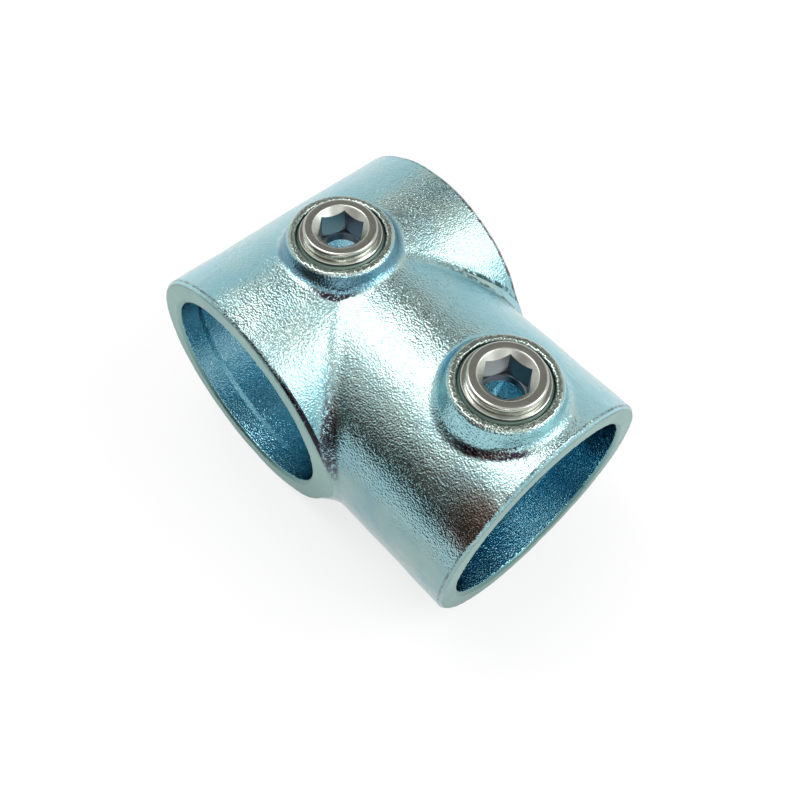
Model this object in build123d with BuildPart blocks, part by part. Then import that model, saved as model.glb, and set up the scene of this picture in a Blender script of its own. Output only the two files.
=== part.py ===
from build123d import *
import os

# Short tee fitting that clamps two round tubes at a right angle.
# The run tube passes through the run barrel, along Y. The branch tube is pushed into the branch
# barrel, along X, until it butts against the run tube. Over each barrel a set screw with a
# hexagon socket stands along Z, and its cup point bites on the tube below it.
# The origin is where the run axis crosses the branch axis. Sizes are in millimetres.

# --- tube and barrels ---------------------------------------------------------------------
tube_diameter = 42.4  # outside diameter of both tubes, nominal 1 1/4 in pipe
tube_clearance = 0.5  # radial play of a tube in its bore
barrel_wall = 4.8  # cast wall around the run bore
branch_step = 0.4  # how far the branch barrel's skin lies below the run barrel's
run_length = 53.6  # run barrel, end face to end face
branch_reach = 57.7  # run axis to the branch's end face
web_fillet = 4.5  # cast blend in the corners between the barrels
rim_edge = 0.6  # broken edge around each end face
mouth_chamfer = 0.5  # edge of each bore at its end face

# --- lands and reliefs inside the bores -----------------------------------------------------
relief_depth = 0.8  # each bore is cored wider between the lands that hold the tube
relief_ramp = 1.0  # length of the slope from a land to the relief
run_land = 4.8  # land at each end of the run bore
mouth_land = 8.3  # land at the branch bore's mouth
inner_land = 7.0  # land at the branch bore's inner end, from the run bore's side

# --- screw bosses ---------------------------------------------------------------------------
boss_height = 2.5  # boss face above the run barrel's skin
boss_wall = 1.8  # metal around the tapped hole at the boss face
boss_draft = 20.0  # flank angle, degrees
boss_edge = 0.5  # broken edge around the boss face
boss_foot = 0.9  # sloped foot of the boss on its barrel
screw_setback = 14.6  # branch screw's axis back from the branch's end face

# --- set screws, 3/8 in pipe thread -----------------------------------------------------------
thread_diameter = 16.66  # over the crests; the thread itself is left plain
thread_clearance = 0.05  # radial play between the crests and the wall of the tapped hole
tap_chamfer = 0.3  # edge of the tapped hole at the boss face
screw_length = 9.1
tip_clearance = 0.3  # backed off, the screw's tip stands this far outside its bore
lead_chamfer = 0.65  # thread's upper end, down from the shoulder
crown_height = 1.7  # rounded crown above the shoulder
crown_inset = 0.65  # crown's side in from the shoulder's edge
crown_width = 1.75  # crown's side to the edge of the socket's countersink
cup_inset = 1.4  # biting edge in from the thread's crests
cup_depth = 1.0  # hollow inside the biting edge
key_flats = 8.0  # hexagon socket across flats
key_depth = 6.3  # hexagon's depth below the screw's top
drill_inset = 0.1  # hole drilled through the screw, inside the hexagon's flats
run_key_turn = 11.0  # turn of each hexagon about its screw, degrees
branch_key_turn = 7.0

# --- sizes that follow ------------------------------------------------------------------------
bore_radius = tube_diameter / 2 + tube_clearance
relief_radius = bore_radius + relief_depth
run_radius = bore_radius + barrel_wall
branch_radius = run_radius - branch_step
run_end = run_length / 2
boss_face = run_radius + boss_height
branch_screw_x = branch_reach - screw_setback
screw_places = [(0, 0), (branch_screw_x, 0)]
thread_radius = thread_diameter / 2
tapped_radius = thread_radius + thread_clearance
boss_radius = tapped_radius + boss_wall
tip = bore_radius + tip_clearance
top = tip + screw_length
shoulder = top - crown_height
shoulder_radius = thread_radius - lead_chamfer
crown_radius = shoulder_radius - crown_inset
crown_round = crown_width / 2
cup_radius = thread_radius - cup_inset
drill_radius = key_flats / 2 - drill_inset
sink_radius = crown_radius - crown_width


def bore_section(start, end, start_land, end_land, start_chamfer, end_chamfer):
    """Half section of a bore along the sketch's X axis: a land at each end, a relief between."""
    return [
        (start, 0),
        (start, bore_radius + start_chamfer),
        (start + start_chamfer, bore_radius),
        (start + start_land, bore_radius),
        (start + start_land + relief_ramp, relief_radius),
        (end - end_land - relief_ramp, relief_radius),
        (end - end_land, bore_radius),
        (end - end_chamfer, bore_radius),
        (end, bore_radius + end_chamfer),
        (end, 0),
    ]


# --- the casting, one piece ---------------------------------------------------------------------
with BuildPart() as tee_casting:
    # Both barrels, the run over-long so that the web fillets run out past its end faces.
    with BuildSketch(Plane.XZ):
        Circle(run_radius)
    extrude(amount=run_length, both=True)
    with BuildSketch(Plane.YZ):
        Circle(branch_radius)
    extrude(amount=branch_reach)
    creases = tee_casting.edges().filter_by(lambda e: e.geom_type not in (GeomType.CIRCLE, GeomType.LINE))
    fillet(creases, web_fillet)
    split(bisect_by=Plane.XZ.offset(run_end), keep=Keep.BOTTOM)
    split(bisect_by=Plane.XZ.offset(-run_end), keep=Keep.TOP)

    # A drafted boss over each barrel, with a broken edge around its face and a sloped foot.
    with BuildSketch(Plane.XY.offset(boss_face)):
        with Locations(screw_places):
            Circle(boss_radius - boss_edge)
    extrude(amount=-boss_edge, taper=-45)
    with BuildSketch(Plane.XY.offset(boss_face - boss_edge)):
        with Locations(screw_places):
            Circle(boss_radius)
    extrude(amount=bore_radius + boss_edge - boss_face, taper=-boss_draft)
    flanks = tee_casting.faces().filter_by(GeomType.CONE)
    chamfer(flanks.edges().filter_by(GeomType.BSPLINE), boss_foot)

    # Broken edges around the three end faces.
    end_faces = tee_casting.faces().filter_by(Axis.Y) + tee_casting.faces().filter_by(Axis.X)
    chamfer(end_faces.edges(), rim_edge)

    # The run bore, with a land at each end.
    with BuildSketch(Plane.YZ):
        with BuildLine():
            section = bore_section(-run_end, run_end, run_land, run_land, mouth_chamfer, mouth_chamfer)
            Polyline(section, close=True)
        make_face()
    revolve(axis=Axis.Y, mode=Mode.SUBTRACT)

    # The branch bore, from the run axis out to its mouth.
    with BuildSketch(Plane.XZ):
        with BuildLine():
            section = bore_section(0, branch_reach, bore_radius + inner_land, mouth_land, 0, mouth_chamfer)
            Polyline(section[:2] + section[3:], close=True)
        make_face()
    revolve(axis=Axis.X, mode=Mode.SUBTRACT)

    # Tapped holes through the bosses, at the diameter over the thread's crests.
    with BuildSketch(Plane.XY.offset(boss_face)):
        with Locations(screw_places):
            Circle(tapped_radius)
    extrude(amount=-boss_face, mode=Mode.SUBTRACT)
    boss_faces = tee_casting.faces().filter_by(Axis.Z)
    tap_mouths = [face.edges().sort_by(SortBy.RADIUS)[0] for face in boss_faces]
    chamfer(tap_mouths, tap_chamfer)

os.makedirs("parts", exist_ok=True)
tee_casting.part.label = "tee_casting"
export_step(tee_casting.part, "parts/tee_casting.step")

# --- the two set screws -------------------------------------------------------------------------
for name, screw_x, key_turn in (
    ("run_set_screw", 0, run_key_turn),
    ("branch_set_screw", branch_screw_x, branch_key_turn),
):
    screw_axis = Axis((screw_x, 0, 0), (0, 0, 1))
    half_section = Plane(origin=(screw_x, 0, 0), x_dir=(1, 0, 0), z_dir=(0, -1, 0))
    with BuildPart() as set_screw:
        # Turned blank, hollow from the crown's countersink down to the cup point.
        with BuildSketch(half_section):
            with BuildLine():
                Polyline(
                    (drill_radius, tip + cup_depth),
                    (cup_radius, tip),
                    (thread_radius, tip + cup_inset),
                    (thread_radius, shoulder - lead_chamfer),
                    (shoulder_radius, shoulder),
                    (crown_radius, shoulder),
                    (crown_radius, top - crown_round),
                    (crown_radius - crown_round / 3, top - crown_round / 3),
                    (crown_radius - crown_round, top),
                    (sink_radius, top),
                    (drill_radius, top - sink_radius + drill_radius),
                    close=True,
                )
            make_face()
        revolve(axis=screw_axis)

        # Hexagon for the key.
        with BuildSketch(Plane((screw_x, 0, top))):
            RegularPolygon(key_flats / 2, 6, major_radius=False, rotation=key_turn)
        extrude(amount=-key_depth, mode=Mode.SUBTRACT)

    set_screw.part.label = name
    export_step(set_screw.part, f"parts/{name}.step")
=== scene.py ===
"""Looks of the tube clamp tee fitting: a zinc plated casting and two polished set screws."""

import math

import bmesh
import bpy
import numpy as np
from mathutils import Matrix, Vector, noise
from mathutils.bvhtree import BVHTree
from mathutils.geometry import barycentric_transform

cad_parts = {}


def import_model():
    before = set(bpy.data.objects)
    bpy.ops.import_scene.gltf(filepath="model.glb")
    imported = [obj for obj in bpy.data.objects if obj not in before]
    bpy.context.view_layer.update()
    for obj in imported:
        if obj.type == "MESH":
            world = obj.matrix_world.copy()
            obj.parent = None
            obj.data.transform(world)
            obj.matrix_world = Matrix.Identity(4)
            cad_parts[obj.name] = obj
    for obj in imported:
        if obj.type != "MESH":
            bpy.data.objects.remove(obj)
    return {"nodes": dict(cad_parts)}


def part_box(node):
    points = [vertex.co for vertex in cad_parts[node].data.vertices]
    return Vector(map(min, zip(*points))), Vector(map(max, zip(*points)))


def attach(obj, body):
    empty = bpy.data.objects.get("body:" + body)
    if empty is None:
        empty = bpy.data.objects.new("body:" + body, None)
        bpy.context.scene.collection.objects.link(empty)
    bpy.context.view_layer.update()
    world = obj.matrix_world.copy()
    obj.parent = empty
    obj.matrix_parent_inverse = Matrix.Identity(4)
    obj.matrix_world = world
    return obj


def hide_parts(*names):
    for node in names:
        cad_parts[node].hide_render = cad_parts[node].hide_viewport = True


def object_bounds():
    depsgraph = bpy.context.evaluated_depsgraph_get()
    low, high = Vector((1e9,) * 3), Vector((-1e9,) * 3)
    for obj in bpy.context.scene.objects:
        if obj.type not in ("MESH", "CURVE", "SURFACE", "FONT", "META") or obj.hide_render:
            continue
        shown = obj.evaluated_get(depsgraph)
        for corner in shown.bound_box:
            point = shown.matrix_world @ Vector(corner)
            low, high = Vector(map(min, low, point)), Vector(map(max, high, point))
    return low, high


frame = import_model()
cad_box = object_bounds()

MM = 0.001

# --- camera and light -----------------------------------------------------------------------
CAMERA_PLACE = Vector((86.4, -68.9, 150.7)) * MM
CAMERA_AIM = Vector((21.7, -3.4, 0.0)) * MM
CAMERA_ROLL = math.radians(3.75)
LENS_MM = 38.86
SENSOR_MM = 36.0
CLIP_START = 0.01
CENTRE = Vector((15.0, 0.0, 15.0)) * MM  # where the lamps and cards point
STUDIO_REACH = 0.6  # how far from there they stand
WALL_COLOUR = (0.80, 0.80, 0.79)
FLOOR_COLOUR = (0.90, 0.90, 0.90)
FLOOR_ROUGH = 0.9
FLOOR_WIDTH = 2.4
FLOOR_GAP = 0.02 * MM  # between the fitting and the floor
FLOOR_WHITE = 0.72  # share of pure white in the floor's look; the rest keeps the shadow

# --- casting --------------------------------------------------------------------------------
WELD_DISTANCE = 1e-7
VOXEL = 0.38 * MM  # mesh step of the casting's skin
SKIN_SHARE = 0.415  # part of that mesh kept, most of it along the edges
SOFTEN_ROUNDS = 4
LUMP = 0.12 * MM  # slow unevenness of the cast skin
LUMP_SPAN = 7.0 * MM
RIPPLE = 0.035 * MM  # quick unevenness
RIPPLE_SPAN = 1.8 * MM
NUDGE = 0.1 * MM  # step over which the skin's slope is taken
UNIT_TRIANGLE = (Vector((1, 0, 0)), Vector((0, 1, 0)), Vector((0, 0, 1)))
BOSS_FACE = 29.0 * MM
BOSS_RADIUS = 10.2 * MM
FOOT_RADIUS = 13.2 * MM  # outside which no boss's foot reaches
FOOT_TOP = BOSS_FACE - 1.1 * MM
RUN_END = cad_box[1][1]
BRANCH_END = cad_box[1][0]
SCREWS = ("run_set_screw", "branch_set_screw")
SCREW_AXES = [(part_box(node)[0][0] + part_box(node)[1][0]) / 2 for node in SCREWS]
TAPPED_RADIUS = 8.38 * MM
RUN_RADIUS = -cad_box[0][0]
BRANCH_RADIUS = 26.1 * MM

# --- screws, 3/8 in pipe thread -------------------------------------------------------------
PITCH = 1.337 * MM
THREAD_DEPTH = 0.70 * MM
THREAD_RINGS = 70
RING_STEP = 1.0  # degrees between two points of a ring
HEX_WALL = (0.05, 1.0, 12)  # first and last share of the hexagon's height, number of rings
SINK_WALL = (0.1, 0.95, 6)  # the same up the countersink
BEAD_RINGS = 14
HEX_FLATS = 8.0 * MM
HEX_DEPTH = 6.3 * MM
HEX_SECTOR = math.radians(60)
HEX_TURN = {"run_set_screw": math.radians(11), "branch_set_screw": math.radians(7)}
HOLLOW_RADIUS = 3.9 * MM
SINK_RADIUS = 5.28 * MM
CROWN_RADIUS = 7.03 * MM
CROWN_HEIGHT = 1.7 * MM
CROWN_BEAD = 0.55 * MM  # rounding between the crown's top and its side
SHOULDER_RADIUS = 7.80 * MM
CUP_RADIUS = 6.93 * MM
CUP_DEPTH = 1.0 * MM
NECK = 0.42 * MM
SCREW_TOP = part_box("run_set_screw")[1][2]
SHOULDER = SCREW_TOP - CROWN_HEIGHT
SHARP_ANGLE = math.radians(35)
# How far a ring stands out from a corner and above it, so that the corner shades as an edge.
CORNER = (0.0, 0.0)
CUP_LIP = (0.1 * MM, 0.02 * MM)
HOLLOW_MOUTH = (0.25 * MM, -0.08 * MM)
HOLLOW_WALL = (0.0, 0.1 * MM)
FLOOR_BELOW = (0.0, -0.02 * MM)
FLOOR_RIM = (0.03 * MM, 0.0)
FLOOR_ABOVE = (0.0, 0.05 * MM)
SINK_RIM = (0.04 * MM, -0.01 * MM)
CROWN_FLAT = (0.10 * MM, 0.0)
CROWN_SIDE = (0.0, 0.25 * MM)
CROWN_GROOVE = (-0.12 * MM, 0.10 * MM)
CROWN_FOOT = (-0.02 * MM, -0.02 * MM)
SHOULDER_FLAT = (-0.18 * MM, 0.0)
SHOULDER_EDGE = (0.0, -0.12 * MM)


def link(piece):
    """Puts a new object in the scene."""
    bpy.context.scene.collection.objects.link(piece)
    return piece


def smooth(mesh):
    """Smooth shading on every face."""
    mesh.polygons.foreach_set("use_smooth", [True] * len(mesh.polygons))


# --- node helpers ---------------------------------------------------------------------------
def new_material(name):
    """An empty node material with its shader: returns the material, its tree and the shader."""
    material = bpy.data.materials.new(name)
    material.use_nodes = True
    tree = material.node_tree
    tree.nodes.clear()
    shader = tree.nodes.new("ShaderNodeBsdfPrincipled")
    output = tree.nodes.new("ShaderNodeOutputMaterial")
    tree.links.new(shader.outputs["BSDF"], output.inputs["Surface"])
    return material, tree, shader


def set_or_link(tree, socket, value):
    """Gives an input a number or a colour, or links it to another node's output."""
    if isinstance(value, (int, float)):
        socket.default_value = value
    elif isinstance(value, tuple):
        socket.default_value = (*value, 1.0)
    else:
        tree.links.new(value, socket)


def noise_of(tree, coords, cell, detail=2.0):
    """Noise whose cells are about one cell wide, in metres."""
    node = tree.nodes.new("ShaderNodeTexNoise")
    node.inputs["Scale"].default_value = 1.0 / cell
    node.inputs["Detail"].default_value = detail
    tree.links.new(coords, node.inputs["Vector"])
    return node.outputs["Fac"]


def ramp_of(tree, value, stops):
    """Maps a value through coloured or grey stops, each (place, colour)."""
    node = tree.nodes.new("ShaderNodeValToRGB")
    elements = node.color_ramp.elements
    while len(elements) < len(stops):
        elements.new(0.5)
    for element, (place, colour) in zip(elements, stops):
        element.position = place
        element.color = (*colour, 1.0) if isinstance(colour, tuple) else (colour, colour, colour, 1.0)
    tree.links.new(value, node.inputs["Fac"])
    return node.outputs["Color"]


def math_of(tree, operation, first, second):
    """One arithmetic step between two values, each a socket or a number."""
    node = tree.nodes.new("ShaderNodeMath")
    node.operation = operation
    set_or_link(tree, node.inputs[0], first)
    set_or_link(tree, node.inputs[1], second)
    return node.outputs["Value"]


def mix_of(tree, factor, first, second):
    """Mixes two colours, each a socket or a colour, by a factor socket."""
    node = tree.nodes.new("ShaderNodeMix")
    node.data_type = "RGBA"
    tree.links.new(factor, node.inputs["Factor"])
    set_or_link(tree, node.inputs[6], first)
    set_or_link(tree, node.inputs[7], second)
    return node.outputs[2]


def value_mix(tree, factor, first, second):
    """Mixes two values, each a socket or a number, by a factor socket."""
    node = tree.nodes.new("ShaderNodeMix")
    node.data_type = "FLOAT"
    tree.links.new(factor, node.inputs["Factor"])
    set_or_link(tree, node.inputs[2], first)
    set_or_link(tree, node.inputs[3], second)
    return node.outputs[0]


def bump_of(tree, height, distance):
    """A normal tilted by a height, where 1 stands for the distance in metres."""
    node = tree.nodes.new("ShaderNodeBump")
    node.inputs["Distance"].default_value = distance
    tree.links.new(height, node.inputs["Height"])
    return node.outputs["Normal"]


def axis_value(tree, coords, axis):
    """One coordinate of a position or direction."""
    parts = tree.nodes.new("ShaderNodeSeparateXYZ")
    tree.links.new(coords, parts.inputs["Vector"])
    return parts.outputs[axis]


def vector_step(tree, operation, coords, other):
    """One step between a position or direction and a fixed vector."""
    node = tree.nodes.new("ShaderNodeVectorMath")
    node.operation = operation
    node.inputs[1].default_value = other
    tree.links.new(coords, node.inputs[0])
    return node


def radius_of(tree, coords, axis):
    """Distance from an axis through the origin, in metres."""
    across = [0.0 if name == axis else 1.0 for name in "XYZ"]
    flat = vector_step(tree, "MULTIPLY", coords, across)
    length = tree.nodes.new("ShaderNodeVectorMath")
    length.operation = "LENGTH"
    tree.links.new(flat.outputs["Vector"], length.inputs[0])
    return length.outputs["Value"]


def along_direction(tree, coords, direction):
    """How far a position or normal reaches in a direction."""
    return vector_step(tree, "DOT_PRODUCT", coords, direction).outputs["Value"]


def screw_distance(tree, coords):
    """Distance from the nearer of the two screw axes, in metres."""
    away = []
    for axis_x in SCREW_AXES:
        shift = vector_step(tree, "SUBTRACT", coords, (axis_x, 0.0, 0.0))
        away.append(radius_of(tree, shift.outputs["Vector"], "Z"))
    return math_of(tree, "MINIMUM", *away)


# --- masks ----------------------------------------------------------------------------------
def step_of(tree, value, low, high):
    """0 at low, 1 at high, smooth between them, whichever of the two is the greater."""
    node = tree.nodes.new("ShaderNodeMapRange")
    node.interpolation_type = "SMOOTHSTEP"
    node.inputs["From Min"].default_value = low
    node.inputs["From Max"].default_value = high
    tree.links.new(value, node.inputs["Value"])
    return node.outputs["Result"]


def both(tree, *masks):
    """1 only where every mask is 1. A number among the masks thins the product out."""
    product = masks[0]
    for mask in masks[1:]:
        product = math_of(tree, "MULTIPLY", product, mask)
    return product


def either(tree, first, second):
    """1 where at least one of two masks is 1."""
    return math_of(tree, "MAXIMUM", first, second)


def outside(tree, mask):
    """1 where a mask is 0."""
    return math_of(tree, "SUBTRACT", 1.0, mask)


def band_of(tree, value, low, high, blur):
    """1 between low and high, 0 outside."""
    return both(tree, step_of(tree, value, low - blur, low), step_of(tree, value, high + blur, high))


def below_end(tree, value, end, depths):
    """0 at the first depth below an end, 1 at the second."""
    return step_of(tree, value, end - depths[0], end - depths[1])


def speckle(tree, coords, cell, levels, detail=3.0):
    """1 in the spots where a noise lies high, 0 between them."""
    return step_of(tree, noise_of(tree, coords, cell, detail), *levels)


class Place:
    """Where a point lies on its piece, as sockets that the masks start from."""

    def __init__(self, tree):
        self.coords = tree.nodes.new("ShaderNodeTexCoord").outputs["Object"]
        self.along = axis_value(tree, self.coords, "X")
        self.height = axis_value(tree, self.coords, "Z")
        self.nearest = screw_distance(tree, self.coords)


# --- the casting's material -----------------------------------------------------------------
# A pair of limits says where a mask is 0 and where it is 1. Lengths are in metres. A facing is
# the normal's share along an axis. A level is a level of the noise. Three limits are a band's
# low side, high side and blur. Colours are linear.
GRAIN = 0.37 * MM
GRAIN_DETAIL = 1.5
GRAIN_DEPTH = 0.135 * MM
GRAIN_ROUGH = [(0.3, 0.15), (0.7, 0.07)]
FACE_ROUGH = 0.38
FACE_GRAIN_SHARE = 0.15
BOSS_GRAIN_SHARE = 0.6
CLOUD = 9.0 * MM
CLOUD_DETAIL = 3.0
CLOUD_LEVELS = (0.35, 0.65)
CLOUD_MIDDLE = 0.5
BORE_TINT_RADIUS = 22.9 * MM
BORE_LIMITS = (BORE_TINT_RADIUS, BORE_TINT_RADIUS - 0.3 * MM)
BRANCH_BORE_START = (14 * MM, 16 * MM)
ON_RUN = (0.35 * MM, 0.15 * MM)  # above the run barrel's skin
BROKEN = 1.3 * MM
BROKEN_LEVELS = (0.38, 0.58)


class CastingPlace(Place):
    """The same on the casting, with how a point faces and how it lies to bores and barrels."""

    def __init__(self, tree):
        super().__init__(tree)
        self.normal = tree.nodes.new("ShaderNodeTexCoord").outputs["Normal"]
        self.facing_branch = axis_value(tree, self.normal, "X")
        self.facing_far = axis_value(tree, self.normal, "Y")
        self.facing_up = axis_value(tree, self.normal, "Z")
        self.cloud = noise_of(tree, self.coords, CLOUD, CLOUD_DETAIL)
        self.sideways = axis_value(tree, self.coords, "Y")
        self.from_middle = math_of(tree, "ABSOLUTE", self.sideways, 0.0)
        from_run = radius_of(tree, self.coords, "Y")
        from_branch = radius_of(tree, self.coords, "X")
        self.in_run = step_of(tree, from_run, *BORE_LIMITS)
        self.in_branch = both(
            tree, step_of(tree, from_branch, *BORE_LIMITS), step_of(tree, self.along, *BRANCH_BORE_START),
        )
        self.inside = either(tree, self.in_run, self.in_branch)
        off_run = math_of(tree, "SUBTRACT", from_run, RUN_RADIUS)
        off_branch = math_of(tree, "SUBTRACT", from_branch, BRANCH_RADIUS)
        self.off_barrels = math_of(tree, "MINIMUM", off_run, off_branch)
        self.on_run = step_of(tree, off_run, *ON_RUN)
        self.broken = speckle(tree, self.coords, BROKEN, BROKEN_LEVELS)


def clouded(tree, place, colours, levels=CLOUD_LEVELS):
    """Drifts slowly between two colours over the casting."""
    return ramp_of(tree, place.cloud, list(zip(levels, colours)))


# Painted light and shade on the barrels: paler tints where they face up, darker ones where they face down.
SIDE_TINTS = ((0.33, 0.61, 0.68), (0.39, 0.64, 0.68))
LIT_TOP_TINTS = ((0.42, 0.64, 0.66), (0.50, 0.68, 0.65))
SHADED_LOWER_TINTS = ((0.20, 0.35, 0.38), (0.26, 0.39, 0.38))
LOWER_LEVELS = (0.40, 0.60)
BACK = (-0.8, 0.6, 0.0)
BACK_FACING = (0.06, 0.20)
BRANCH_FACING = (0.42, 0.58)
TOP_FACING = (0.55, 0.85)
LOWER_FACING = (0.60, 0.30)


def skin_colour_with_painted_light(tree, place):
    """The barrels' blue zinc with painted light and shade by facing: paler where it faces up, darker where
    it faces down.
    """
    to_branch = step_of(tree, place.facing_branch, *BRANCH_FACING)
    to_back = step_of(tree, along_direction(tree, place.normal, BACK), *BACK_FACING)
    aside = either(tree, to_branch, to_back)
    upward = both(tree, step_of(tree, place.facing_up, *TOP_FACING), outside(tree, aside))
    skin = mix_of(tree, upward, clouded(tree, place, SIDE_TINTS), clouded(tree, place, LIT_TOP_TINTS))
    lower = clouded(tree, place, SHADED_LOWER_TINTS, LOWER_LEVELS)
    return mix_of(tree, step_of(tree, place.facing_up, *LOWER_FACING), skin, lower)


FLANK_WANDER = 2.0 * MM
FLANK_OUTER = (12.2 * MM, 11.2 * MM)
FLANK_INNER = (9.6 * MM, 9.9 * MM)
FLANK_UPPER = (BOSS_FACE - 0.3 * MM, BOSS_FACE - 0.8 * MM)
FLANK_LOWER = (22.0 * MM, 23.0 * MM)
FLANK_SPAN = (0.0, 44.0 * MM)
# Slate on the run boss, blue where the two bosses face each other.
FLANK_TINTS = [
    (0.14, (0.17, 0.34, 0.43)),
    (0.22, (0.26, 0.56, 0.70)),
    (0.80, (0.14, 0.43, 0.67)),
    (0.92, (0.34, 0.61, 0.66)),
]


def flank_mask(tree, place):
    """1 on the flanks of both bosses, with a wandering edge on the barrels."""
    drift = math_of(tree, "SUBTRACT", place.cloud, CLOUD_MIDDLE)
    wander = math_of(tree, "MULTIPLY", drift, FLANK_WANDER)
    reach = math_of(tree, "ADD", place.nearest, wander)
    return both(
        tree, step_of(tree, reach, *FLANK_OUTER), step_of(tree, place.nearest, *FLANK_INNER),
        step_of(tree, place.height, *FLANK_UPPER), step_of(tree, place.height, *FLANK_LOWER),
    )


ROOT_INNER = (11.4 * MM, 11.9 * MM)
ROOT_OUTER = (13.1 * MM, 12.6 * MM)
ROOT_NEAR_SIDE = (-3.0 * MM, -7.0 * MM)
ROOT_FACING_UP = (0.0, 0.3)
ROOT_TURN = (-0.05, 0.10)
RUN_ROOT_TURN = -0.22  # the run boss's painted shadow reaches less far round than the branch boss's
ROOT_TURN_SPAN = (18.0 * MM, 26.0 * MM)
ROOT_SPOTS = 0.5 * MM
ROOT_LEVELS = (0.30, 0.50)
# Painted shadow at the bosses' feet.
ROOT_SHADOW = (0.04, 0.025, 0.045)


def root_shadow_mask(tree, place):
    """1 in a broken line of painted shadow round the near side of each boss's foot."""
    at_branch = step_of(tree, place.along, *ROOT_TURN_SPAN)
    turn = value_mix(tree, at_branch, RUN_ROOT_TURN, 0.0)
    turned = math_of(tree, "ADD", place.facing_branch, turn)
    return both(
        tree, step_of(tree, place.nearest, *ROOT_INNER), step_of(tree, place.nearest, *ROOT_OUTER),
        step_of(tree, place.sideways, *ROOT_NEAR_SIDE), step_of(tree, place.facing_up, *ROOT_FACING_UP),
        step_of(tree, turned, *ROOT_TURN),
        speckle(tree, place.coords, ROOT_SPOTS, ROOT_LEVELS, detail=2.0),
    )


RUN_BLUES = ((0.13, 0.37, 0.47), (0.27, 0.47, 0.55))
BRANCH_BLUES = ((0.02, 0.36, 0.54), (0.11, 0.45, 0.60))
LAND_SLOPE = (RUN_END - 5.9 * MM, RUN_END - 4.7 * MM, 0.1 * MM)
LAND_SLOPE_SHARE = 0.55
LAND_SLOPE_BLUE = (0.05, 0.20, 0.28)
LOW_SIDE = (-2.0 * MM, -16.0 * MM)
LOW_SIDE_SHARE = 0.6
LIT_LOW_BLUE = (0.34, 0.66, 0.76)
BORE_SPOTS = 0.42 * MM
BORE_LEVELS = (0.60, 0.68)
BORE_GLINT_BLUE = (0.50, 0.72, 0.80)
UNDER_SCREW = (10.0 * MM, 3.0 * MM)
UNDER_SCREW_HEIGHT = (0.0, -4.0 * MM)
SCREW_SHADOW_BLUE = (0.13, 0.30, 0.38)


def bore_colour(tree, place):
    """Deep blue passivation inside the bores, with painted light low down, painted glints and a painted
    shadow opposite the screws.
    """
    run_blue = clouded(tree, place, RUN_BLUES)
    depths = mix_of(tree, place.in_branch, run_blue, clouded(tree, place, BRANCH_BLUES))
    land_slope = both(tree, band_of(tree, place.from_middle, *LAND_SLOPE), LAND_SLOPE_SHARE)
    # Painted light: the bores paler low down.
    lit_low_side = both(tree, step_of(tree, place.height, *LOW_SIDE), LOW_SIDE_SHARE)
    # Painted glints: pale specks on the bore walls.
    spots = speckle(tree, place.coords, BORE_SPOTS, BORE_LEVELS, detail=1.0)
    # Painted shadow of each screw on the bore wall opposite it.
    screw_shadow = both(
        tree, step_of(tree, place.nearest, *UNDER_SCREW),
        step_of(tree, place.height, *UNDER_SCREW_HEIGHT),
    )
    for mask, colour in (
        (land_slope, LAND_SLOPE_BLUE), (lit_low_side, LIT_LOW_BLUE),
        (spots, BORE_GLINT_BLUE), (screw_shadow, SCREW_SHADOW_BLUE),
    ):
        depths = mix_of(tree, mask, depths, colour)
    return depths


BEVEL_DEPTHS = (0.95 * MM, 0.62 * MM)
BEVEL_BLUR = 0.12 * MM
BEVEL_SPOTS = 1.1 * MM
BEVEL_LEVELS = (0.25, 0.75)
BEVEL_DARK_REFLECTION = (0.10, 0.14, 0.14)


def bevel_reflection_mask(tree, place):
    """1 in a broken line of painted dark reflection along the bevels of the end faces."""
    deep, shallow = BEVEL_DEPTHS
    on_run = band_of(tree, place.from_middle, RUN_END - deep, RUN_END - shallow, BEVEL_BLUR)
    on_branch = band_of(tree, place.along, BRANCH_END - deep, BRANCH_END - shallow, BEVEL_BLUR)
    bevels = either(tree, both(tree, on_run, place.on_run), on_branch)
    return both(
        tree, bevels, speckle(tree, place.coords, BEVEL_SPOTS, BEVEL_LEVELS),
        outside(tree, place.inside),
    )


NEAR_RIM = (0.25 * MM - RUN_END, 1.0 * MM - RUN_END, 0.15 * MM)
NEAR_RIM_SPAN = (11.0 * MM, 17.0 * MM)
NEAR_RIM_HEIGHT = (0.0, 6.0 * MM)
NEAR_RIM_SPOTS = 0.9 * MM
NEAR_RIM_LEVELS = (0.22, 0.42)
NEAR_RIM_DARK_REFLECTION = (0.03, 0.025, 0.035)


def near_rim_reflection_mask(tree, place):
    """1 in a heavier line of painted dark reflection along the near rim, on the branch's side."""
    return both(
        tree, band_of(tree, place.sideways, *NEAR_RIM), place.on_run,
        step_of(tree, place.along, *NEAR_RIM_SPAN), step_of(tree, place.height, *NEAR_RIM_HEIGHT),
        speckle(tree, place.coords, NEAR_RIM_SPOTS, NEAR_RIM_LEVELS),
    )


FAR_CREASE = (0.18 * MM, 0.42 * MM, 0.08 * MM)
FAR_CREASE_SIDE = (10.0 * MM, 19.0 * MM)
FAR_CREASE_HEIGHT = (0.0, 6.0 * MM)
FAR_CREASE_SHADE = (0.05, 0.11, 0.12)


def far_crease_shade_mask(tree, place):
    """1 in dashes of painted shade along the far crease between the barrels."""
    return both(
        tree, band_of(tree, place.off_barrels, *FAR_CREASE), place.broken,
        step_of(tree, place.sideways, *FAR_CREASE_SIDE),
        step_of(tree, place.height, *FAR_CREASE_HEIGHT),
    )


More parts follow.
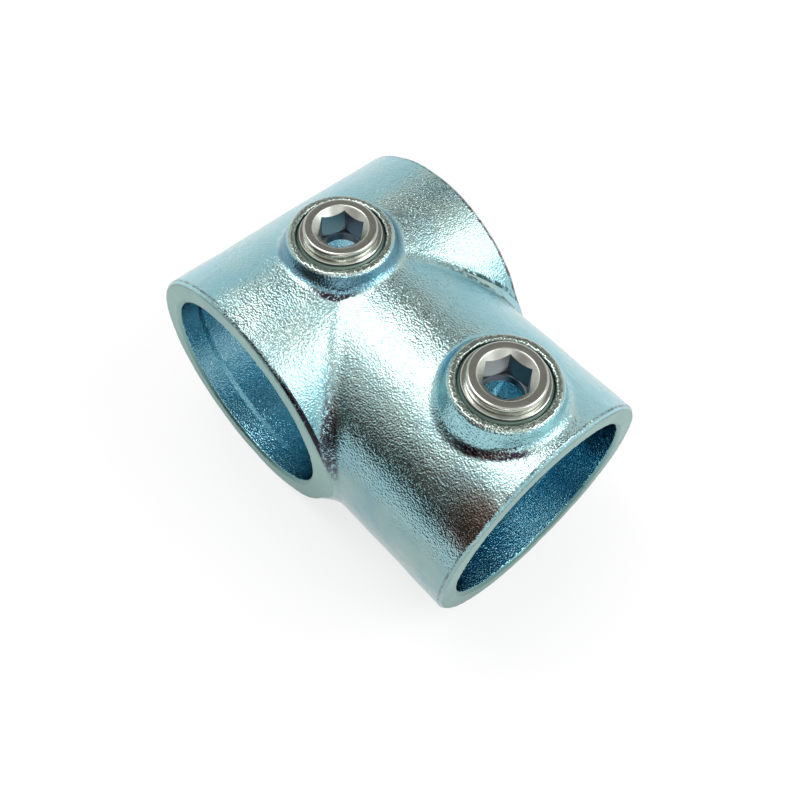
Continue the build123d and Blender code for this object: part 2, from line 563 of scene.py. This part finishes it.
NEAR_CREASE = (0.05 * MM, 0.35 * MM)
NEAR_CREASE_SPOTS = 0.6 * MM
NEAR_CREASE_LEVELS = (0.35, 0.50)
NEAR_CREASE_SIDE = (-17.0 * MM, -22.0 * MM)
NEAR_CREASE_HEIGHT = (2.0 * MM, 8.0 * MM)
NEAR_CREASE_SHARE = 0.85
NEAR_CREASE_SHADE = (0.06, 0.04, 0.06)


def near_crease_shade_mask(tree, place):
    """1 in spots of painted shade along the near crease between the barrels."""
    return both(
        tree, step_of(tree, place.off_barrels, *NEAR_CREASE),
        speckle(tree, place.coords, NEAR_CREASE_SPOTS, NEAR_CREASE_LEVELS, detail=2.0),
        step_of(tree, place.sideways, *NEAR_CREASE_SIDE),
        step_of(tree, place.height, *NEAR_CREASE_HEIGHT), NEAR_CREASE_SHARE,
    )


MOUTH_SPAN = (46.0 * MM, 56.0 * MM)
MOUTH_FACING_NEAR = (-0.45, -0.65)
MOUTH_FACING_UP = (0.48, 0.64)
MOUTH_SHARE = 0.9
MOUTH_BROWN_REFLECTION = (0.27, 0.22, 0.19)


def mouth_reflection_mask(tree, place):
    """1 in a patch of painted brown reflection on the branch barrel's near shoulder, towards its mouth."""
    return both(
        tree, step_of(tree, place.along, *MOUTH_SPAN),
        step_of(tree, place.facing_far, *MOUTH_FACING_NEAR),
        step_of(tree, place.facing_up, *MOUTH_FACING_UP), outside(tree, place.inside), MOUTH_SHARE,
    )


FAR_RIM_DEPTHS = (1.20 * MM, 1.00 * MM)
FAR_RIM_START = (2.0 * MM, 8.0 * MM)
FAR_RIM_STOP = (25.0 * MM, 23.0 * MM)
FAR_RIM_DARK_REFLECTION = (0.13, 0.10, 0.09)


def far_rim_reflection_mask(tree, place):
    """1 in dashes of painted dark reflection along the far rim, on the branch's side."""
    return both(
        tree, below_end(tree, place.sideways, RUN_END, FAR_RIM_DEPTHS), place.broken,
        step_of(tree, place.along, *FAR_RIM_START), step_of(tree, place.along, *FAR_RIM_STOP),
        outside(tree, place.inside),
    )


FACE_DEPTHS = (0.22 * MM, 0.10 * MM)
LIP_DEPTHS = (0.60 * MM, 0.50 * MM)
FACE_TINTS = ((0.22, 0.39, 0.37), (0.27, 0.44, 0.41))
FACE_LOW = (8.0 * MM, -20.0 * MM)
FACE_LOW_SHADE = (0.15, 0.29, 0.275)


def face_mask(tree, place):
    """1 on the three end faces and on the edges of the bores beside them."""
    run_face = below_end(tree, place.from_middle, RUN_END, FACE_DEPTHS)
    branch_face = below_end(tree, place.along, BRANCH_END, FACE_DEPTHS)
    run_lip = both(tree, place.in_run, below_end(tree, place.from_middle, RUN_END, LIP_DEPTHS))
    branch_lip = both(tree, place.in_branch, below_end(tree, place.along, BRANCH_END, LIP_DEPTHS))
    return either(tree, either(tree, run_face, branch_face), either(tree, run_lip, branch_lip))


def face_colour(tree, place):
    """A little green, with painted shade low down."""
    low = step_of(tree, place.height, *FACE_LOW)
    return mix_of(tree, low, clouded(tree, place, FACE_TINTS), FACE_LOW_SHADE)


BOSS_TOP_DEPTHS = (0.35 * MM, 0.10 * MM)
BOSS_GREYS = ((0.38, 0.48, 0.43), (0.48, 0.57, 0.52))
TAPPED_WALL = (TAPPED_RADIUS + 0.12 * MM, TAPPED_RADIUS + 0.04 * MM)
TAPPED_LOW = (24.0 * MM, 25.0 * MM)
# Painted shade in the tapped holes.
TAPPED_HOLE_SHADE = (0.05, 0.09, 0.08)


def tapped_shade_mask(tree, place):
    """1 on the walls of the tapped holes, which take painted shade."""
    wall = step_of(tree, place.nearest, *TAPPED_WALL)
    return both(tree, wall, step_of(tree, place.height, *TAPPED_LOW))


def zinc_material():
    """Bright zinc over a sand-cast skin: fine orange peel grain under a faint blue passivation."""
    material, tree, shader = new_material("zinc_casting")
    place = CastingPlace(tree)
    face = face_mask(tree, place)
    boss_top = below_end(tree, place.height, BOSS_FACE, BOSS_TOP_DEPTHS)
    tint = skin_colour_with_painted_light(tree, place)
    # Most marks below are painted light and shade: shadow at the bosses' feet, light, glints and the screws'
    # shadow in the bores, dark reflections along the rims, shade in the creases and tapped holes, a brown
    # reflection on the branch.
    for mask, colour in (
        (flank_mask(tree, place), ramp_of(tree, step_of(tree, place.along, *FLANK_SPAN), FLANK_TINTS)),
        (root_shadow_mask(tree, place), ROOT_SHADOW),
        (place.inside, bore_colour(tree, place)),
        (bevel_reflection_mask(tree, place), BEVEL_DARK_REFLECTION),
        (near_rim_reflection_mask(tree, place), NEAR_RIM_DARK_REFLECTION),
        (far_crease_shade_mask(tree, place), FAR_CREASE_SHADE),
        (near_crease_shade_mask(tree, place), NEAR_CREASE_SHADE),
        (mouth_reflection_mask(tree, place), MOUTH_BROWN_REFLECTION),
        (far_rim_reflection_mask(tree, place), FAR_RIM_DARK_REFLECTION),
        (face, face_colour(tree, place)),
        (boss_top, clouded(tree, place, BOSS_GREYS)),
        (tapped_shade_mask(tree, place), TAPPED_HOLE_SHADE),
    ):
        tint = mix_of(tree, mask, tint, colour)
    tree.links.new(tint, shader.inputs["Base Color"])
    shader.inputs["Metallic"].default_value = 1.0

    # The end faces are smoother than the skin but duller; the boss faces keep some of the grain.
    grain = noise_of(tree, place.coords, GRAIN, GRAIN_DETAIL)
    rough = value_mix(tree, face, ramp_of(tree, grain, GRAIN_ROUGH), FACE_ROUGH)
    tree.links.new(rough, shader.inputs["Roughness"])
    relief = value_mix(tree, face, grain, math_of(tree, "MULTIPLY", grain, FACE_GRAIN_SHARE))
    relief = value_mix(tree, boss_top, relief, math_of(tree, "MULTIPLY", grain, BOSS_GRAIN_SHARE))
    tree.links.new(bump_of(tree, relief, GRAIN_DEPTH), shader.inputs["Normal"])
    return material


# --- the screws' material -------------------------------------------------------------------
SMEAR = 1.6 * MM
SMEAR_DETAIL = 3.0
SCUFF = 0.25 * MM
SCUFF_DEPTH = 0.012 * MM
STEEL_TINTS = [(0.3, (0.50, 0.53, 0.48)), (0.7, (0.60, 0.62, 0.57))]
STEEL_ROUGH = [(0.3, 0.22), (0.7, 0.14)]
SOCKET_LIMITS = (SINK_RADIUS + 0.05 * MM, SINK_RADIUS - 0.10 * MM)
SOCKET_ROUGH = 0.38
SINK_SLANT = SINK_RADIUS - SCREW_TOP  # radius less height, the same all over the countersink
HEX_SLANT = (SINK_SLANT + 0.03 * MM, SINK_SLANT + 0.10 * MM)
HEX_GREY = (0.32, 0.35, 0.35)
FAR_RIGHT = (0.755, 0.656, 0.0)
FAR_RIGHT_START = (0.0, 0.1 * MM)
RUN_SCREW_ONLY = (21 * MM, 20 * MM)
# Painted shade: the socket's far right walls, its floor and the thread.
SOCKET_SHADE = (0.08, 0.13, 0.17)
HEX_FLOOR = (SCREW_TOP - HEX_DEPTH + 0.5 * MM, SCREW_TOP - HEX_DEPTH)
HEX_FLOOR_SHADE = (0.08, 0.10, 0.12)
THREAD_START = (SHOULDER - 0.16 * MM, SHOULDER - 0.26 * MM)
THREAD_OUTSIDE = (CROWN_RADIUS, CROWN_RADIUS + 0.1 * MM)
THREAD_ROUGH = 0.5
THREAD_SHADE = (0.06, 0.09, 0.08)
FIRST_TURN = (SHOULDER - 0.95 * MM, SHOULDER - 0.60 * MM, 0.10 * MM)
FIRST_TURN_SHADE = (0.20, 0.28, 0.24)


def steel_material():
    """Smooth plated steel: bright on the crown, duller in the socket, with painted shade down the thread, on
    the socket's floor and on its far right walls.
    """
    material, tree, shader = new_material("screw_steel")
    place = Place(tree)
    smear = noise_of(tree, place.coords, SMEAR, SMEAR_DETAIL)
    in_socket = step_of(tree, place.nearest, *SOCKET_LIMITS)
    slant = math_of(tree, "SUBTRACT", place.nearest, place.height)
    hexagon = both(tree, in_socket, step_of(tree, slant, *HEX_SLANT))
    # Painted shade on the far right walls of the run screw's socket.
    to_far_right = along_direction(tree, place.coords, FAR_RIGHT)
    shaded_walls = both(
        tree, hexagon, step_of(tree, to_far_right, *FAR_RIGHT_START),
        step_of(tree, place.along, *RUN_SCREW_ONLY),
    )
    # Painted shade on the socket's floor.
    floor = both(tree, in_socket, step_of(tree, place.height, *HEX_FLOOR))
    # Painted shade down the neck and thread, lighter on the first turn.
    threaded = both(
        tree, step_of(tree, place.height, *THREAD_START),
        step_of(tree, place.nearest, *THREAD_OUTSIDE),
    )
    first_turn = band_of(tree, place.height, *FIRST_TURN)
    thread_shade = mix_of(tree, first_turn, THREAD_SHADE, FIRST_TURN_SHADE)
    tint = ramp_of(tree, smear, STEEL_TINTS)
    for mask, colour in (
        (hexagon, HEX_GREY), (shaded_walls, SOCKET_SHADE), (floor, HEX_FLOOR_SHADE), (threaded, thread_shade),
    ):
        tint = mix_of(tree, mask, tint, colour)
    tree.links.new(tint, shader.inputs["Base Color"])
    shader.inputs["Metallic"].default_value = 1.0
    rough = value_mix(tree, in_socket, ramp_of(tree, smear, STEEL_ROUGH), SOCKET_ROUGH)
    tree.links.new(value_mix(tree, threaded, rough, THREAD_ROUGH), shader.inputs["Roughness"])
    scuff = noise_of(tree, place.coords, SCUFF)
    tree.links.new(bump_of(tree, scuff, SCUFF_DEPTH), shader.inputs["Normal"])
    return material


# --- pieces ---------------------------------------------------------------------------------
def vectors_of(collection, name):
    """A mesh's stored vectors as an array of rows."""
    values = np.empty(len(collection) * 3)
    collection.foreach_get(name, values)
    return values.reshape(-1, 3)


def unevenness(places):
    """How far the cast skin stands off the true shape at each place."""
    slow = np.array([noise.noise(Vector(place) / LUMP_SPAN) for place in places])
    quick = np.array([noise.noise(Vector(place) / RIPPLE_SPAN) for place in places])
    return slow * LUMP + quick * RIPPLE


def true_surface(mesh, places):
    """The nearest point of a mesh to each place, with the mesh's own smooth normal there."""
    corners = vectors_of(mesh.corner_normals, "vector")
    tree = BVHTree.FromPolygons([v.co for v in mesh.vertices], [p.vertices for p in mesh.polygons])
    points = np.empty_like(places)
    normals = np.empty_like(places)
    for k, place in enumerate(places):
        point, _, face, _ = tree.find_nearest(place)
        polygon = mesh.polygons[face]
        triangle = [mesh.vertices[v].co for v in polygon.vertices]
        weights = np.array(barycentric_transform(point, *triangle, *UNIT_TRIANGLE))
        points[k] = point
        normals[k] = weights @ corners[polygon.loop_start:polygon.loop_start + 3]
    return points, normals


def even_skin(piece):
    """Turns a piece's facets into one fine even mesh, a little softened, and returns it."""
    piece.data.materials.clear()
    weld = bmesh.new()
    weld.from_mesh(piece.data)
    bmesh.ops.remove_doubles(weld, verts=weld.verts, dist=WELD_DISTANCE)
    weld.to_mesh(piece.data)
    weld.free()
    remesh = piece.modifiers.new("remesh", "REMESH")
    remesh.mode = "VOXEL"
    remesh.voxel_size = VOXEL
    thin = piece.modifiers.new("thin", "DECIMATE")
    thin.ratio = SKIN_SHARE
    soften = piece.modifiers.new("soften", "SMOOTH")
    soften.iterations = SOFTEN_ROUNDS
    skin = bpy.data.meshes.new_from_object(piece.evaluated_get(bpy.context.evaluated_depsgraph_get()))
    piece.modifiers.clear()
    piece.data = skin
    smooth(skin)
    return skin


def follow_solid(skin, solid):
    """Lays the skin on the solid's surface, with the slight unevenness of sand casting."""
    soft_places = vectors_of(skin.vertices, "co")
    soft_normals = vectors_of(skin.vertex_normals, "vector")
    places, normals = true_surface(solid, soft_places)

    # The bosses' feet stay rounded off; everywhere else the skin follows the solid.
    away = np.min([np.hypot(places[:, 0] - x, places[:, 1]) for x in SCREW_AXES], axis=0)
    height = places[:, 2]
    foot = (away > BOSS_RADIUS) & (away < FOOT_RADIUS) & (height > 0) & (height < FOOT_TOP)
    places[foot] = soft_places[foot]
    normals[foot] = soft_normals[foot]

    rise = unevenness(places)
    nudges = NUDGE * np.eye(3)
    slope = np.stack([(unevenness(places + nudge) - rise) / NUDGE for nudge in nudges], axis=1)
    low, high = (np.array(corner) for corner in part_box("tee_casting"))
    skin.vertices.foreach_set("co", np.clip(places + normals * rise[:, None], low, high).ravel())
    slope -= normals * np.sum(slope * normals, axis=1)[:, None]
    skin.update()
    skin.normals_split_custom_set_from_vertices(normals - slope)


def casting_piece(material):
    """The casting's skin: the CAD solid in a fine even mesh, slightly uneven as sand casting is."""
    source = frame["nodes"]["tee_casting"]
    piece = link(bpy.data.objects.new("cast_body", source.data.copy()))
    skin = even_skin(piece)
    follow_solid(skin, source.data)
    skin.materials.append(material)
    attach(piece, "fitting")
    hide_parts("tee_casting")


def hex_radius(angle, turn):
    """Distance from the axis to the hexagon's wall in each direction."""
    return HEX_FLATS / 2 / np.cos((angle - turn) % HEX_SECTOR - HEX_SECTOR / 2)


def thread_radius(crest, height, angle, low, high):
    """Outside of the screw: a helical groove with rounded crests that runs out at both ends."""
    phase = (height / PITCH - angle / (2 * math.pi)) % 1.0
    groove = 0.5 - 0.5 * np.cos(2 * math.pi * phase)
    runout = np.clip((height - low) / PITCH, 0, 1) * np.clip((high - height) / PITCH, 0, 1)
    return crest - THREAD_DEPTH * groove * runout


def screw_rings(tip, top, crest, turn, angles):
    """The screw's rings, each (radii, heights), up its hollow and down its outside."""
    rings = []

    def ring(radius, height, ease=CORNER):
        radii = np.broadcast_to(radius + ease[0], angles.shape)
        rings.append((radii, np.broadcast_to(height + ease[1], angles.shape)))

    # Up the hollow: cup, drilled wall, hexagon, countersink.
    ring(CUP_RADIUS, tip)
    ring(HOLLOW_RADIUS, tip + CUP_DEPTH, HOLLOW_MOUTH)
    ring(HOLLOW_RADIUS, tip + CUP_DEPTH, HOLLOW_WALL)
    hexagon = hex_radius(angles, turn)
    floor = top - HEX_DEPTH
    ring(HOLLOW_RADIUS, floor, FLOOR_BELOW)
    ring(HOLLOW_RADIUS, floor, FLOOR_RIM)
    ring(hexagon, floor, FLOOR_ABOVE)
    sink_edge = top - SINK_RADIUS + hexagon
    for share in np.linspace(*HEX_WALL):
        ring(hexagon, floor + (sink_edge - floor) * share)
    for share in np.linspace(*SINK_WALL):
        ring(hexagon + (SINK_RADIUS - hexagon) * share, sink_edge + (top - sink_edge) * share)
    # Over the flat top, around the crown's outer side, down to the shoulder's groove.
    ring(SINK_RADIUS, top, SINK_RIM)
    ring(SINK_RADIUS, top, CROWN_FLAT)
    bead_radius = CROWN_RADIUS - CROWN_BEAD
    bead_height = top - CROWN_BEAD
    for step in np.linspace(0, math.pi / 2, BEAD_RINGS):
        ring(bead_radius + CROWN_BEAD * math.sin(step), bead_height + CROWN_BEAD * math.cos(step))
    shoulder = top - CROWN_HEIGHT
    for ease in (CROWN_SIDE, CROWN_GROOVE, CROWN_FOOT):
        ring(CROWN_RADIUS, shoulder, ease)
    ring(SHOULDER_RADIUS, shoulder, SHOULDER_FLAT)
    ring(SHOULDER_RADIUS, shoulder, SHOULDER_EDGE)
    # Down the neck and the thread to the cup's biting edge.
    ring(SHOULDER_RADIUS, shoulder - NECK)
    thread_top = shoulder - NECK - (crest - SHOULDER_RADIUS)
    thread_low = tip + crest - CUP_RADIUS
    for height in np.linspace(thread_top, thread_low, THREAD_RINGS):
        ring(thread_radius(crest, height, angles, thread_low, thread_top), height)
    ring(CUP_RADIUS, tip, CUP_LIP)
    return rings


def ring_faces(ring_count, count):
    """Four-sided faces between each ring and the next, the last ring joining the first."""
    faces = []
    for i in range(ring_count):
        j = (i + 1) % ring_count
        for k in range(count):
            m = (k + 1) % count
            faces.append((i * count + k, i * count + m, j * count + m, j * count + k))
    return faces


def screw_piece(node, body, material):
    """A set screw, turned around its axis in rings from the socket over the crown to the cup."""
    low, high = (Vector(corner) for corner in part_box(node))
    axis_x = (low.x + high.x) / 2
    axis_y = (low.y + high.y) / 2
    turn = HEX_TURN[node]
    angles = turn + np.radians(np.arange(0, 360, RING_STEP)) + HEX_SECTOR / 2
    rings = screw_rings(low.z, high.z, (high.x - low.x) / 2, turn, angles)
    points = []
    for radius, height in rings:
        x = axis_x + radius * np.cos(angles)
        y = axis_y + radius * np.sin(angles)
        points.extend(zip(x, y, height))
    mesh = bpy.data.meshes.new(node + "_skin")
    mesh.from_pydata(points, [], ring_faces(len(rings), len(angles)))
    smooth(mesh)
    mesh.materials.append(material)
    piece = link(bpy.data.objects.new(node + "_finish", mesh))
    turned = bmesh.new()
    turned.from_mesh(mesh)
    bmesh.ops.recalc_face_normals(turned, faces=turned.faces)
    turned.to_mesh(mesh)
    turned.free()
    mesh.set_sharp_from_angle(angle=SHARP_ANGLE)
    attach(piece, body)
    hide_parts(node)


# --- studio ---------------------------------------------------------------------------------
def backdrop_material():
    """White to the camera and in reflections, a plain pale surface to everything else."""
    material, tree, shader = new_material("backdrop")
    shader.inputs["Base Color"].default_value = (*FLOOR_COLOUR, 1.0)
    shader.inputs["Roughness"].default_value = FLOOR_ROUGH
    path = tree.nodes.new("ShaderNodeLightPath")
    seen = either(tree, path.outputs["Is Camera Ray"], path.outputs["Is Glossy Ray"])
    seen = either(tree, seen, path.outputs["Is Transmission Ray"])
    glow = tree.nodes.new("ShaderNodeEmission")
    blend = tree.nodes.new("ShaderNodeMixShader")
    tree.links.new(math_of(tree, "MULTIPLY", seen, FLOOR_WHITE), blend.inputs["Fac"])
    tree.links.new(shader.outputs["BSDF"], blend.inputs[1])
    tree.links.new(glow.outputs["Emission"], blend.inputs[2])
    output = next(node for node in tree.nodes if node.type == "OUTPUT_MATERIAL")
    tree.links.new(blend.outputs["Shader"], output.inputs["Surface"])
    return material


def card(name, width, height, level, material):
    """A flat rectangle at a level, as a new object."""
    x = width / 2
    y = height / 2
    corners = [(-x, -y, level), (x, -y, level), (x, y, level), (-x, y, level)]
    mesh = bpy.data.meshes.new(name)
    mesh.from_pydata(corners, [], [(0, 1, 2, 3)])
    mesh.materials.append(material)
    return link(bpy.data.objects.new(name, mesh))


def floor_piece(level):
    """A wide plain floor under the fitting."""
    piece = card("floor", FLOOR_WIDTH, FLOOR_WIDTH, level, backdrop_material())


def camera():
    """A close view with strong perspective, down on the near side and into the run's near mouth."""
    data = bpy.data.cameras.new("camera")
    data.lens = LENS_MM
    data.sensor_width = SENSOR_MM
    data.clip_start = CLIP_START
    piece = link(bpy.data.objects.new("camera", data))
    look = (CAMERA_AIM - CAMERA_PLACE).to_track_quat("-Z", "Y").to_matrix().to_4x4()
    piece.matrix_world = Matrix.Translation(CAMERA_PLACE) @ look @ Matrix.Rotation(CAMERA_ROLL, 4, "Z")
    bpy.context.scene.camera = piece


def studio_place(azimuth, elevation, distance):
    """A point around the fitting, by its direction in degrees and its distance in metres."""
    turn = Matrix.Rotation(math.radians(azimuth), 3, "Z")
    tilt = Matrix.Rotation(-math.radians(elevation), 3, "Y")
    return CENTRE + turn @ tilt @ Vector((distance, 0, 0))


def facing(piece, place):
    """Puts a lamp or card at a place and turns it towards the fitting."""
    piece.location = place
    piece.rotation_euler = (CENTRE - place).to_track_quat("-Z", "Y").to_euler()


def softbox(name, azimuth, elevation, width, height, brightness):
    """One rectangular soft light of a given brightness, where 1 shows as white."""
    data = bpy.data.lights.new(name, "AREA")
    data.shape = "RECTANGLE"
    data.size = width
    data.size_y = height
    data.energy = brightness * math.pi * width * height
    facing(link(bpy.data.objects.new(name, data)), studio_place(azimuth, elevation, STUDIO_REACH))


def flag(name, azimuth, elevation, width, height, colour, reach=STUDIO_REACH):
    """A dark card beside the set, seen only in the metal's reflections."""
    material, _, shader = new_material(name)
    shader.inputs["Base Color"].default_value = (*colour, 1.0)
    shader.inputs["Roughness"].default_value = 1.0
    shader.inputs["Specular IOR Level"].default_value = 0.0
    piece = card(name, width, height, 0.0, material)
    facing(piece, studio_place(azimuth, elevation, reach))
    piece.visible_camera = False
    piece.visible_shadow = False
    piece.visible_diffuse = False


def world():
    """A plain pale studio all round."""
    scene_world = bpy.data.worlds.new("studio")
    scene_world.use_nodes = True
    bpy.context.scene.world = scene_world
    back = scene_world.node_tree.nodes["Background"]
    back.inputs["Color"].default_value = (*WALL_COLOUR, 1.0)
    back.inputs["Strength"].default_value = 1.0


zinc = zinc_material()
steel = steel_material()
casting_piece(zinc)
screw_piece("run_set_screw", "run_screw", steel)
screw_piece("branch_set_screw", "branch_screw", steel)
floor_piece(cad_box[0][2] - FLOOR_GAP)
camera()
world()
softbox("overhead", azimuth=-162, elevation=68, width=0.34, height=0.37, brightness=3.2)
softbox("side", azimuth=38, elevation=42, width=0.36, height=0.38, brightness=3.0)
softbox("front", azimuth=-38, elevation=38, width=0.20, height=0.08, brightness=3.6)
flag("left_flag", azimuth=-90, elevation=22, width=0.62, height=0.42, colour=(0.165, 0.12, 0.105))
flag("low_flag", azimuth=-100, elevation=3, width=0.26, height=0.09, colour=(0.035, 0.035, 0.03), reach=0.20)
flag("right_flag", azimuth=-48, elevation=14, width=0.55, height=0.28, colour=(0.06, 0.04, 0.04))
flag("camera_flag", azimuth=-42, elevation=57, width=0.12, height=0.10, colour=(0.03, 0.02, 0.03))
flag("ceiling_flag", azimuth=132, elevation=54, width=0.46, height=0.32, colour=(0.22, 0.21, 0.20))
bpy.context.scene.view_settings.view_transform = "Standard"
